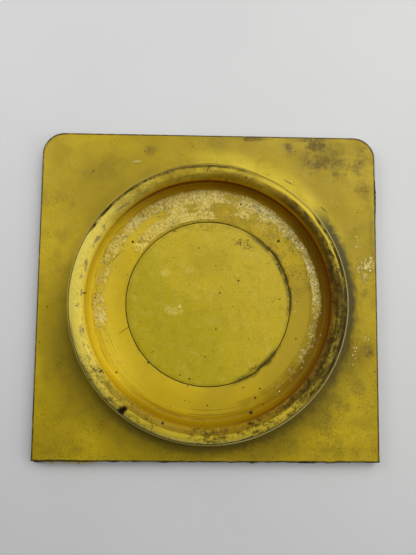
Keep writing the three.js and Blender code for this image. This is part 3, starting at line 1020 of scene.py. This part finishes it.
def build_disc(settings, soil):
    angles = full_turn(300)
    low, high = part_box("centre_disc")
    radius = node_radius("centre_disc")
    lip = settings.edge_round
    rows = []

    def ring(distance, height):
        rows.append(with_height(ring_points(distance, DISC_AXIS, angles), height))

    ring(0.0, low.z)
    ring(radius, low.z)
    ring(radius, high.z - lip)
    for i in range(1, 4):
        turn = math.pi / 2 * i / 3
        ring(radius - lip * (1 - math.cos(turn)), high.z - lip * (1 - math.sin(turn)))
    for part in np.linspace(0.97, 0.04, 30):
        ring((radius - lip) * part, high.z)
    ring(0.0, high.z)
    points, faces = round_body(rows, False)
    reach = np.hypot(points[:, 0], points[:, 1] - DISC_AXIS.y)
    upper = (points[:, 2] > high.z - 1e-7) & (reach < radius * 0.98)
    points[upper, 2] += np.minimum(0.06 * MM * waves(points[upper], 8 * MM, 3, 9.0), 0.0)
    disc = new_object("centre_disc_worn", points, faces, disc_plastic(settings, soil))
    return finish_piece(disc, "disc_plastic", "centre_disc")


def soil_ring(name, axis, inner, outer, base, top, material, seed):
    """A ring of dirt that fills a joint, with a rough top."""
    angles = full_turn(720)
    rows = [
        with_height(ring_points(outer, axis, angles), base),
        with_height(ring_points(outer, axis, angles), top),
        with_height(ring_points((inner + outer) / 2, axis, angles), top),
        with_height(ring_points(inner, axis, angles), top),
        with_height(ring_points(inner, axis, angles), base),
    ]
    for row in rows[1:4]:
        row[:, 2] += np.minimum(0.0, 0.12 * MM * waves(row, 1.6 * MM, 3, seed) - 0.02 * MM)
    points, faces = round_body(rows, True)
    return finish_piece(new_object(name, points, faces, material), "bitumen")


def build_joint_soil(cup):
    material = packed_soil()
    disc = node_radius("centre_disc")
    low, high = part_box("centre_disc")
    soil_ring("disc_joint_soil", DISC_AXIS, disc, disc + cup.joint, low.z, high.z - 0.05 * MM, material, 1.0)
    outer = cup.inner_radius + cup.rim_width + cup.snug
    top = PLATE_HIGH.z - 0.06 * MM
    soil_ring("collar_joint_soil", CUP_AXIS, outer, COLLAR_SEAT, top - 1.5 * MM, top, material, 5.0)


# ---------------------------------------------------------------- glue


# Over how much of its strength a film frays out, to either side of its nominal edge.
FRAY = 0.42


def glue_sheet(name, plan, floor, keep, frost, settings, material, nodes, tall=1.0):
    """A crinkled film over a grid of plan points. Keep says how thick the glue is: it frays out from
    FRAY down to nothing at -FRAY, and cells below that are left out. Frost says how crazed it is.
    The film is a closed shell, thin at its edges."""
    rows, across = plan.shape[:2]
    flat = plan.reshape(-1, 2)
    base = with_height(flat, floor)
    crinkle = np.abs(waves(base, 0.9 * MM, 3, 2.0)) + 0.6 * np.abs(waves(base, 2.1 * MM, 2, 7.0))
    edge = np.clip(keep.reshape(-1) * 2.2, 0.06, 1.0)
    lift = (0.05 * MM + settings.wrinkle * tall * np.clip(crinkle, 0, 1)) * edge
    lift = np.minimum(lift, 0.33 * MM)
    upper = base + np.array([0.0, 0.0, 1.0]) * lift[:, None]
    under = base + np.array([0.0, 0.0, 0.012 * MM])
    cells = []
    for i in range(rows - 1):
        for j in range(across - 1):
            corners = (i * across + j, i * across + j + 1, (i + 1) * across + j + 1, (i + 1) * across + j)
            if np.mean([keep.reshape(-1)[c] for c in corners]) > -FRAY:
                cells.append(corners)
    borders = {}
    for corners in cells:
        for first, second in zip(corners, corners[1:] + corners[:1]):
            if (second, first) in borders:
                del borders[(second, first)]
            else:
                borders[(first, second)] = True
    names = sorted({c for corners in cells for c in corners})
    used = {corner: place for place, corner in enumerate(names)}
    count = len(names)
    points = np.concatenate([upper[names], under[names]])
    faces = [tuple(used[c] for c in corners) for corners in cells]
    faces += [tuple(used[c] + count for c in reversed(corners)) for corners in cells]
    faces += [(used[b], used[a], used[a] + count, used[b] + count) for a, b in borders]
    film = new_object(name, points, faces, material, math.radians(80))
    covered = np.clip(0.5 + keep.reshape(-1) / (2 * FRAY), 0, 1)
    set_layer(film.data, "thick", np.tile(covered[names], 2))
    set_layer(film.data, "frost", np.tile(frost.reshape(-1)[names], 2))
    return finish_piece(film, "dried_glue", *nodes)


# Where the dish's film lies: from and to in degrees, softness, inner and outer radius, strength of
# the film and of its frost.
FILM_PATCHES = (
    (92, 144, 10, 24.0, 32.6, 1.0, 0.0),
    (96, 126, 10, 30.6, 33.2, 0.2, 0.7),
    (150, 188, 12, 30.6, 33.6, 0.72, 0.9),
    (126, 152, 8, 30.8, 33.2, 0.34, 0.8),
    (2, 66, 8, 31.2, 32.5, 0.9, 0.9),
    (-12, 8, 8, 31.2, 32.4, 0.5, 0.4),
    (60, 94, 12, 30.2, 32.8, 0.6, 0.5),
    (50, 88, 14, 27.0, 30.4, 0.36, 0.0),
    (188, 216, 8, 31.0, 33.6, 0.2, 0.4),
    (-52, -12, 10, 31.4, 33.6, 0.18, 0.9),
    (120, 146, 12, 28.5, 30.0, -0.7, 0.0),
    (146, 156, 8, 24.0, 28.0, -0.5, 0.0),
    (84, 100, 8, 27.2, 28.8, -0.62, 0.0),
)


def rise(value, low, high):
    """Smooth step from 0 at low to 1 at high."""
    part = np.clip((value - low) / (high - low), 0, 1)
    return part * part * (3 - 2 * part)


def build_glue(settings):
    material = dried_glue(settings)
    inner = node_radius("centre_disc") + 0.5 * MM
    outer = bpy.context.scene.marker_cup.inner_radius - 1.0 * MM
    cell = settings.cell
    angles = np.arange(math.radians(-58), math.radians(218), cell / (0.9 * outer))
    radii = np.arange(inner, outer, cell)
    spin, reach = np.meshgrid(angles, radii)
    plan = np.stack([CUP_AXIS.x + reach * np.cos(spin), CUP_AXIS.y + reach * np.sin(spin)], axis=-1)
    flat = with_height(plan.reshape(-1, 2), 0.0)
    patchy = waves(flat, 4.5 * MM, 4, 3.0) + 0.4 * waves(flat, 1.2 * MM, 2, 8.0)
    patchy = patchy.reshape(spin.shape)
    keep = 0.5 * patchy - 0.52
    frost = np.zeros(spin.shape)
    turn = np.degrees(spin)
    for begin, finish, soft, near, far, amount, crazed in FILM_PATCHES:
        sweep = rise(turn, begin - soft, begin) * (1 - rise(turn, finish, finish + soft))
        width = rise(reach, (near - 1.4) * MM, near * MM) * (1 - rise(reach, far * MM, (far + 0.9) * MM))
        keep = keep + amount * sweep * width
        frost = np.maximum(frost, crazed * sweep * width)
    glue_sheet("dish_glue_film_worn", plan, FLOOR_TOP, keep, frost, settings, material, ["dish_glue_film"])
    for node, thin, crazed in (("disc_glue_patch", 0.7, 0.3), ("flange_glue_patch", 0.3, 0.8)):
        low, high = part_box(node)
        xs = np.arange(low.x, high.x, cell)
        ys = np.arange(low.y, high.y, cell)
        gx, gy = np.meshgrid(xs, ys)
        plan = np.stack([gx, gy], axis=-1)
        u = (gx - (low.x + high.x) / 2) / ((high.x - low.x) / 2)
        v = (gy - (low.y + high.y) / 2) / ((high.y - low.y) / 2)
        flat = with_height(plan.reshape(-1, 2), 0.0)
        patchy = waves(flat, 1.6 * MM, 3, 4.0).reshape(gx.shape)
        keep = 0.9 - np.hypot(u, v) - thin + 0.8 * patchy
        frost = np.full(gx.shape, crazed)
        glue_sheet(node + "_worn", plan, low.z, keep, frost, settings, material, [node], 0.8)


# ---------------------------------------------------------------- pad, tar and grit


def build_pad(settings, soil):
    """Butyl pad: straight sides, lumpy squeezed-out teeth along the cut edge, rough underside."""
    outline, cuts = plate_outline(settings)
    normals = outward(outline, cuts)
    wander = waves(with_height(outline, 0.0), 3.2 * MM, 4, 12.0)
    side = -0.35 * MM + 0.15 * MM * wander
    teeth = 0.95 * MM + 0.32 * MM * wander
    reach = np.where(cuts > 0, teeth, side)
    edge = outline + normals * reach[:, None]
    edge[:, 0] = np.clip(edge[:, 0], PLATE_LOW.x, PLATE_HIGH.x)
    edge[:, 1] = np.maximum(edge[:, 1], PAD_LOW.y)
    middle = np.zeros_like(edge)
    rows = [with_height(middle, PAD_LOW.z)]
    for part in (0.25, 0.5, 0.75, 0.9, 0.98):
        plan = edge * part
        rough = 0.18 * MM * np.abs(waves(with_height(plan, 0.0), 4 * MM, 4, 2.0))
        rows.append(with_height(plan, PAD_LOW.z + rough * (part < 0.95)))
    rows.append(with_height(edge, PAD_LOW.z + 0.15 * MM))
    rows.append(with_height(edge, PAD_HIGH.z - 0.2 * MM))
    rows.append(with_height(edge - normals * 0.2 * MM, PAD_HIGH.z))
    rows.append(with_height(edge * 0.5, PAD_HIGH.z))
    rows.append(with_height(middle, PAD_HIGH.z))
    points, faces = round_body(rows, False)
    pad = new_object("adhesive_pad_worn", points, faces, black_bitumen("butyl", soil))
    return finish_piece(pad, "butyl", "adhesive_pad")


def build_tar(soil):
    """Bitumen lumps stuck to the plate's +X side."""
    along = 60
    ys = np.linspace(TAR_LOW.y, TAR_HIGH.y, along)
    profile = 9
    reach_most = TAR_HIGH.x - TAR_LOW.x
    tall = TAR_HIGH.z - TAR_LOW.z
    rows = []
    for k in range(profile + 1):
        turn = math.pi * k / profile
        depth = math.sin(turn)
        height = TAR_LOW.z + tall * (1 - math.cos(turn)) / 2
        lumps = np.array([noise.fractal(Vector((y / (2.2 * MM), k * 0.5, 1.3)), 0.9, 2.0, 4) for y in ys])
        taper = np.sin(math.pi * np.linspace(0, 1, along)) ** 0.35
        reach = np.clip(depth * taper * (0.62 + 0.6 * lumps), 0.0, 1.0) * reach_most
        rows.append(np.stack([TAR_LOW.x + reach, ys, np.full(along, height)], axis=1))
    points = np.concatenate(rows)
    faces = []
    for i in range(profile):
        for j in range(along - 1):
            faces.append((i * along + j, i * along + j + 1, (i + 1) * along + j + 1, (i + 1) * along + j))
    for i in (0, along - 1):
        faces.append(tuple(k * along + i for k in (range(profile, -1, -1) if i == 0 else range(profile + 1))))
    for j in range(along - 1):
        faces.append((profile * along + j, profile * along + j + 1, j + 1, j))
    tar = new_object("edge_tar_worn", points, faces, black_bitumen("bitumen", soil))
    return finish_piece(tar, "bitumen", "edge_tar")


def grit_tree(material):
    """Grains scattered over the faces of a mesh, each an uneven little stone."""
    tree = bpy.data.node_groups.new("scattered_grit", "GeometryNodeTree")
    wanted = {"Geometry": "Geometry", "Density": "Float", "Grain radius": "Float", "Seed": "Int"}
    for name, kind in wanted.items():
        tree.interface.new_socket(name, in_out="INPUT", socket_type="NodeSocket" + kind)
    tree.interface.new_socket("Geometry", in_out="OUTPUT", socket_type="NodeSocketGeometry")
    nodes, link = tree.nodes, tree.links.new
    given, result = nodes.new("NodeGroupInput"), nodes.new("NodeGroupOutput")
    points = nodes.new("GeometryNodeDistributePointsOnFaces")
    weight = nodes.new("GeometryNodeInputNamedAttribute")
    weight.data_type = "FLOAT"
    weight.inputs["Name"].default_value = "grit"
    amount = nodes.new("ShaderNodeMath")
    amount.operation = "MULTIPLY"
    grain = nodes.new("GeometryNodeMeshIcoSphere")
    grain.inputs["Subdivisions"].default_value = 1
    grain.inputs["Radius"].default_value = 1.0
    spread = nodes.new("FunctionNodeRandomValue")
    spread.data_type = "FLOAT_VECTOR"
    spread.inputs[0].default_value = (0.45, 0.45, 0.3)
    spread.inputs[1].default_value = (1.5, 1.3, 0.8)
    scaled = nodes.new("ShaderNodeVectorMath")
    scaled.operation = "SCALE"
    turn = nodes.new("FunctionNodeRandomValue")
    turn.data_type = "FLOAT_VECTOR"
    turn.inputs[1].default_value = (0.4, 0.4, 6.283)
    put = nodes.new("GeometryNodeInstanceOnPoints")
    solid = nodes.new("GeometryNodeRealizeInstances")
    paint = nodes.new("GeometryNodeSetMaterial")
    paint.inputs["Material"].default_value = material
    link(given.outputs["Geometry"], points.inputs["Mesh"])
    link(given.outputs["Density"], amount.inputs[0])
    link(weight.outputs["Attribute"], amount.inputs[1])
    link(amount.outputs[0], points.inputs["Density"])
    link(given.outputs["Seed"], points.inputs["Seed"])
    link(spread.outputs[0], scaled.inputs[0])
    link(given.outputs["Grain radius"], scaled.inputs["Scale"])
    link(points.outputs["Points"], put.inputs["Points"])
    link(grain.outputs["Mesh"], put.inputs["Instance"])
    link(turn.outputs[0], put.inputs["Rotation"])
    link(scaled.outputs[0], put.inputs["Scale"])
    link(put.outputs["Instances"], solid.inputs["Geometry"])
    link(solid.outputs["Geometry"], paint.inputs["Geometry"])
    link(paint.outputs["Geometry"], result.inputs["Geometry"])
    return tree


def build_grit(soil):
    """Loose grains on the plate and in the dish, made plain mesh from the tree's result."""
    tree = grit_tree(packed_soil())
    wanted = {
        "Density": soil.grit_density * 1e4,
        "Grain radius": soil.grit_size,
        "Seed": 7,
    }
    for name, piece in (("grit_on_plate", "base_plate_worn"), ("grit_in_dish", "cup_ring_worn")):
        source = bpy.data.objects[piece].data.copy()
        up = np.array([v.normal.z for v in source.vertices])
        place = np.array([v.co for v in source.vertices])
        inside = place[:, 2] < CUP_HIGH.z - 0.35 * MM
        set_layer(source, "grit", ((up > 0.75) & inside).astype(float))
        carrier = bpy.data.objects.new(name, source)
        bpy.context.scene.collection.objects.link(carrier)
        modifier = carrier.modifiers.new("scatter", "NODES")
        modifier.node_group = tree
        for socket in tree.interface.items_tree:
            if socket.in_out == "INPUT" and socket.name in wanted:
                modifier[socket.identifier] = wanted[socket.name]
        graph = bpy.context.evaluated_depsgraph_get()
        graph.update()
        grains = bpy.data.meshes.new_from_object(carrier.evaluated_get(graph))
        carrier.modifiers.clear()
        carrier.data = grains
        grains.name = name
        finish_piece(carrier, "bitumen")


# ---------------------------------------------------------------- stage


def soft_panel(name, direction, elevation, distance, size, power, tint=(1.0, 1.0, 1.0)):
    """A square area light that looks at the dish from a direction (0 is +X) and an elevation."""
    data = bpy.data.lights.new(name, "AREA")
    data.shape = "SQUARE"
    data.size = size
    data.energy = power
    data.color = tint
    lamp = bpy.data.objects.new(name, data)
    turn, rise = math.radians(direction), math.radians(elevation)
    away = Vector((math.cos(turn) * math.cos(rise), math.sin(turn) * math.cos(rise), math.sin(rise)))
    lamp.location = CUP_AXIS + away * distance
    lamp.rotation_euler = away.to_track_quat("Z", "Y").to_euler()
    lamp.visible_camera = False
    bpy.context.scene.collection.objects.link(lamp)


def studio_world():
    """Soft surrounding light, brightest low on the +X +Y side and dim straight overhead."""
    world = bpy.data.worlds.new("studio")
    world.use_nodes = True
    tree = world.node_tree
    background = tree.nodes["Background"]
    background.inputs["Color"].default_value = (0.95, 0.97, 1.0, 1.0)
    way = tree.nodes.new("ShaderNodeTexCoord").outputs["Generated"]

    def fade(direction, low, high, dim, bright):
        aim = tree.nodes.new("ShaderNodeVectorMath")
        aim.operation = "DOT_PRODUCT"
        aim.inputs[1].default_value = Vector(direction).normalized()
        tree.links.new(way, aim.inputs[0])
        ramp = tree.nodes.new("ShaderNodeMapRange")
        ramp.interpolation_type = "SMOOTHSTEP"
        for socket, number in zip(ramp.inputs[1:], (low, high, dim, bright)):
            socket.default_value = number
        tree.links.new(aim.outputs["Value"], ramp.inputs[0])
        return ramp.outputs[0]

    strength = tree.nodes.new("ShaderNodeMath")
    strength.operation = "MULTIPLY"
    tree.links.new(fade((0.4, 1.0, 0.1), -0.8, 0.8, 0.06, 0.62), strength.inputs[0])
    tree.links.new(fade((0.0, 0.0, 1.0), 0.75, 0.98, 1.0, 0.25), strength.inputs[1])
    tree.links.new(strength.outputs[0], background.inputs["Strength"])
    return world


def build_stage(settings):
    scene = bpy.context.scene
    g = Graph("pale_floor")
    cloudy = g.noise(60, 3, 0.5)
    paint = g.mix(g.span(cloudy, 0.3, 0.7), settings.floor, tuple(0.97 * c for c in settings.floor))
    material = g.done(g.surface(paint, 0.6, g.noise(1.5, 4, 0.6), 0.02))
    half = 0.9
    mesh = bpy.data.meshes.new("floor")
    corners = [(-half, -half, 0.0), (half, -half, 0.0), (half, half, 0.0), (-half, half, 0.0)]
    mesh.from_pydata(corners, [], [(0, 1, 2, 3)])
    mesh.materials.append(material)
    floor = bpy.data.objects.new("floor", mesh)
    scene.collection.objects.link(floor)
    scene.world = studio_world()
    soft_panel("key_panel", 56, 54, 0.30, 0.24, 0.40, (1.0, 0.99, 0.96))
    soft_panel("left_panel", 150, 38, 0.28, 0.12, 0.17, (0.97, 0.99, 1.0))
    soft_panel("right_panel", -10, 36, 0.30, 0.14, 0.15, (1.0, 0.985, 0.95))
    scene.view_settings.view_transform = "Standard"
    lens = bpy.data.cameras.new("camera")
    lens.lens = settings.lens
    lens.sensor_width = 36.0
    lens.clip_start = 0.005
    camera = bpy.data.objects.new("camera", lens)
    plate_middle_y = (PLATE_HIGH.y + PLATE_LOW.y) / 2 + 0.4 * MM
    camera.location = (-2.28 * MM, plate_middle_y - 3.68 * MM, PLATE_TOP + settings.height)
    camera.rotation_euler = Euler((math.radians(4.012), math.radians(-1.049), math.radians(0.641)), "XYZ")
    scene.collection.objects.link(camera)
    scene.camera = camera


# ---------------------------------------------------------------- operators and panel


class MARKER_OT_plate(bpy.types.Operator):
    """Build the worn flange plate with its collar"""

    bl_idname = "marker.plate"
    bl_label = "Flange plate"

    def execute(self, context):
        build_plate(context.scene.marker_plate, context.scene.marker_soil)
        return {"FINISHED"}


class MARKER_OT_cup(bpy.types.Operator):
    """Build the cup with its rounded rim and dish"""

    bl_idname = "marker.cup"
    bl_label = "Cup"

    def execute(self, context):
        build_cup(context.scene.marker_cup, context.scene.marker_soil)
        return {"FINISHED"}


class MARKER_OT_disc(bpy.types.Operator):
    """Build the disc in the dish floor"""

    bl_idname = "marker.disc"
    bl_label = "Centre disc"

    def execute(self, context):
        build_disc(context.scene.marker_disc, context.scene.marker_soil)
        return {"FINISHED"}


class MARKER_OT_soil(bpy.types.Operator):
    """Pack soil into the joints and scatter grit"""

    bl_idname = "marker.soil"
    bl_label = "Soil and grit"

    def execute(self, context):
        build_joint_soil(context.scene.marker_cup)
        build_grit(context.scene.marker_soil)
        return {"FINISHED"}


class MARKER_OT_glue(bpy.types.Operator):
    """Lay the dried glue in the dish, on the disc and on the flange"""

    bl_idname = "marker.glue"
    bl_label = "Dried glue"

    def execute(self, context):
        build_glue(context.scene.marker_glue)
        return {"FINISHED"}


class MARKER_OT_bitumen(bpy.types.Operator):
    """Build the butyl pad and the bitumen on the plate's side"""

    bl_idname = "marker.bitumen"
    bl_label = "Pad and bitumen"

    def execute(self, context):
        build_pad(context.scene.marker_plate, context.scene.marker_soil)
        build_tar(context.scene.marker_soil)
        return {"FINISHED"}


class MARKER_OT_stage(bpy.types.Operator):
    """Set up the floor, the soft lights and the camera"""

    bl_idname = "marker.stage"
    bl_label = "Stage"

    def execute(self, context):
        build_stage(context.scene.marker_stage)
        return {"FINISHED"}


class MARKER_PT_build(bpy.types.Panel):
    """Lists the marker's building steps"""

    bl_idname = "MARKER_PT_build"
    bl_label = "Raised pavement marker"
    bl_space_type = "VIEW_3D"
    bl_region_type = "UI"
    bl_category = "Marker"

    def draw(self, context):
        for operator in OPERATORS:
            self.layout.operator(operator.bl_idname)
        for name in SETTINGS:
            box = self.layout.box()
            group = getattr(context.scene, name)
            for key in group.bl_rna.properties.keys():
                if key not in ("rna_type", "name"):
                    box.prop(group, key)


SETTINGS = {
    "marker_plate": PlateSettings,
    "marker_cup": CupSettings,
    "marker_disc": DiscSettings,
    "marker_soil": SoilSettings,
    "marker_glue": GlueSettings,
    "marker_stage": StageSettings,
}
OPERATORS = (
    MARKER_OT_stage,
    MARKER_OT_plate,
    MARKER_OT_cup,
    MARKER_OT_disc,
    MARKER_OT_soil,
    MARKER_OT_glue,
    MARKER_OT_bitumen,
)


def register():
    for name, group in SETTINGS.items():
        bpy.utils.register_class(group)
        setattr(bpy.types.Scene, name, bpy.props.PointerProperty(type=group))
    for operator in OPERATORS:
        bpy.utils.register_class(operator)
    bpy.utils.register_class(MARKER_PT_build)


def unregister():
    bpy.utils.unregister_class(MARKER_PT_build)
    for operator in reversed(OPERATORS):
        bpy.utils.unregister_class(operator)
    for name, group in reversed(list(SETTINGS.items())):
        delattr(bpy.types.Scene, name)
        bpy.utils.unregister_class(group)


def main():
    register()
    bpy.ops.marker.stage()
    bpy.ops.marker.plate()
    bpy.ops.marker.cup()
    bpy.ops.marker.disc()
    bpy.ops.marker.soil()
    bpy.ops.marker.glue()
    bpy.ops.marker.bitumen()


if __name__ == "__main__":
    main()
